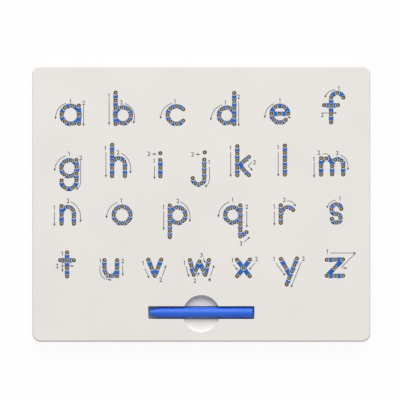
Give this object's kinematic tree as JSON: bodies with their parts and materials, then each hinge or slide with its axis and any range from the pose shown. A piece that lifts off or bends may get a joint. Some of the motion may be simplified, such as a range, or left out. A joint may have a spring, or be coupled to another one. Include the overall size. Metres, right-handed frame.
{
  "type": "magnetic letter drawing board",
  "caption": "Flat white board of captive steel balls along printed small letters, pulled up by a blue magnet stylus that lies in a scooped tray.",
  "frame": {"origin": "middle of the board's length and width, on the surface that its feet stand on", "axes": "+X along the long side, towards the right of the page; +Y up the page; +Z out of the printed face"},
  "size_m": [0.3, 0.245, 0.0139],
  "materials": {
    "white_plastic": "satin off-white moulded plastic, printed in blue and grey",
    "white_back_plastic": "finely textured off-white moulded plastic",
    "grey_tray_plastic": "plain grey moulded plastic, hidden inside",
    "ball_steel": "polished steel balls with a warm, slightly brown tone",
    "screw_steel": "plated screw steel",
    "blue_plastic": "glossy royal blue moulded plastic",
    "magnet_nickel": "nickel-plated magnet",
    "foot_rubber": "dark matte rubber"
  },
  "bodies": {
    "case": {"front_shell": "white_plastic", "back_shell": "white_back_plastic", "bead_tray": "grey_tray_plastic", "case_screw_01": "screw_steel", "case_screw_02": "screw_steel", "case_screw_03": "screw_steel", "case_screw_04": "screw_steel", "case_screw_05": "screw_steel", "case_screw_06": "screw_steel", "case_screw_07": "screw_steel", "case_screw_08": "screw_steel", "case_screw_09": "screw_steel", "case_screw_10": "screw_steel", "rubber_foot_1": "foot_rubber", "rubber_foot_2": "foot_rubber", "rubber_foot_3": "foot_rubber", "rubber_foot_4": "foot_rubber"},
    "stylus": {"stylus_nose": "blue_plastic", "stylus_barrel": "blue_plastic", "stylus_magnet": "magnet_nickel", "stylus_end_cap": "blue_plastic"},
    "letter_a": {"beads_a": "ball_steel"},
    "letter_b": {"beads_b": "ball_steel"},
    "letter_c": {"beads_c": "ball_steel"},
    "letter_d": {"beads_d": "ball_steel"},
    "letter_e": {"beads_e": "ball_steel"},
    "letter_f": {"beads_f": "ball_steel"},
    "letter_g": {"beads_g": "ball_steel"},
    "letter_h": {"beads_h": "ball_steel"},
    "letter_i": {"beads_i": "ball_steel"},
    "letter_j": {"beads_j": "ball_steel"},
    "letter_k": {"beads_k": "ball_steel"},
    "letter_l": {"beads_l": "ball_steel"},
    "letter_m": {"beads_m": "ball_steel"},
    "letter_n": {"beads_n": "ball_steel"},
    "letter_o": {"beads_o": "ball_steel"},
    "letter_p": {"beads_p": "ball_steel"},
    "letter_q": {"beads_q": "ball_steel"},
    "letter_r": {"beads_r": "ball_steel"},
    "letter_s": {"beads_s": "ball_steel"},
    "letter_t": {"beads_t": "ball_steel"},
    "letter_u": {"beads_u": "ball_steel"},
    "letter_v": {"beads_v": "ball_steel"},
    "letter_w": {"beads_w": "ball_steel"},
    "letter_x": {"beads_x": "ball_steel"},
    "letter_y": {"beads_y": "ball_steel"},
    "letter_z": {"beads_z": "ball_steel"}
  },
  "joints": [
    {"name": "stylus_lift", "type": "slide", "parent": "case", "child": "stylus", "axis": [0, 0, 1], "range_m": [0, 0.06]},
    {"name": "letter_a_lift", "type": "slide", "parent": "case", "child": "letter_a", "axis": [0, 0, 1], "range_m": [0, 0.00155]},
    {"name": "letter_b_lift", "type": "slide", "parent": "case", "child": "letter_b", "axis": [0, 0, 1], "range_m": [0, 0.00155]},
    {"name": "letter_c_lift", "type": "slide", "parent": "case", "child": "letter_c", "axis": [0, 0, 1], "range_m": [0, 0.00155]},
    {"name": "letter_d_lift", "type": "slide", "parent": "case", "child": "letter_d", "axis": [0, 0, 1], "range_m": [0, 0.00155]},
    {"name": "letter_e_lift", "type": "slide", "parent": "case", "child": "letter_e", "axis": [0, 0, 1], "range_m": [0, 0.00155]},
    {"name": "letter_f_lift", "type": "slide", "parent": "case", "child": "letter_f", "axis": [0, 0, 1], "range_m": [0, 0.00155]},
    {"name": "letter_g_lift", "type": "slide", "parent": "case", "child": "letter_g", "axis": [0, 0, 1], "range_m": [0, 0.00155]},
    {"name": "letter_h_lift", "type": "slide", "parent": "case", "child": "letter_h", "axis": [0, 0, 1], "range_m": [0, 0.00155]},
    {"name": "letter_i_lift", "type": "slide", "parent": "case", "child": "letter_i", "axis": [0, 0, 1], "range_m": [0, 0.00155]},
    {"name": "letter_j_lift", "type": "slide", "parent": "case", "child": "letter_j", "axis": [0, 0, 1], "range_m": [0, 0.00155]},
    {"name": "letter_k_lift", "type": "slide", "parent": "case", "child": "letter_k", "axis": [0, 0, 1], "range_m": [0, 0.00155]},
    {"name": "letter_l_lift", "type": "slide", "parent": "case", "child": "letter_l", "axis": [0, 0, 1], "range_m": [0, 0.00155]},
    {"name": "letter_m_lift", "type": "slide", "parent": "case", "child": "letter_m", "axis": [0, 0, 1], "range_m": [0, 0.00155]},
    {"name": "letter_n_lift", "type": "slide", "parent": "case", "child": "letter_n", "axis": [0, 0, 1], "range_m": [0, 0.00155]},
    {"name": "letter_o_lift", "type": "slide", "parent": "case", "child": "letter_o", "axis": [0, 0, 1], "range_m": [0, 0.00155]},
    {"name": "letter_p_lift", "type": "slide", "parent": "case", "child": "letter_p", "axis": [0, 0, 1], "range_m": [0, 0.00155]},
    {"name": "letter_q_lift", "type": "slide", "parent": "case", "child": "letter_q", "axis": [0, 0, 1], "range_m": [0, 0.00155]},
    {"name": "letter_r_lift", "type": "slide", "parent": "case", "child": "letter_r", "axis": [0, 0, 1], "range_m": [0, 0.00155]},
    {"name": "letter_s_lift", "type": "slide", "parent": "case", "child": "letter_s", "axis": [0, 0, 1], "range_m": [0, 0.00155]},
    {"name": "letter_t_lift", "type": "slide", "parent": "case", "child": "letter_t", "axis": [0, 0, 1], "range_m": [0, 0.00155]},
    {"name": "letter_u_lift", "type": "slide", "parent": "case", "child": "letter_u", "axis": [0, 0, 1], "range_m": [0, 0.00155]},
    {"name": "letter_v_lift", "type": "slide", "parent": "case", "child": "letter_v", "axis": [0, 0, 1], "range_m": [0, 0.00155]},
    {"name": "letter_w_lift", "type": "slide", "parent": "case", "child": "letter_w", "axis": [0, 0, 1], "range_m": [0, 0.00155]},
    {"name": "letter_x_lift", "type": "slide", "parent": "case", "child": "letter_x", "axis": [0, 0, 1], "range_m": [0, 0.00155]},
    {"name": "letter_y_lift", "type": "slide", "parent": "case", "child": "letter_y", "axis": [0, 0, 1], "range_m": [0, 0.00155]},
    {"name": "letter_z_lift", "type": "slide", "parent": "case", "child": "letter_z", "axis": [0, 0, 1], "range_m": [0, 0.00155]}
  ]
}
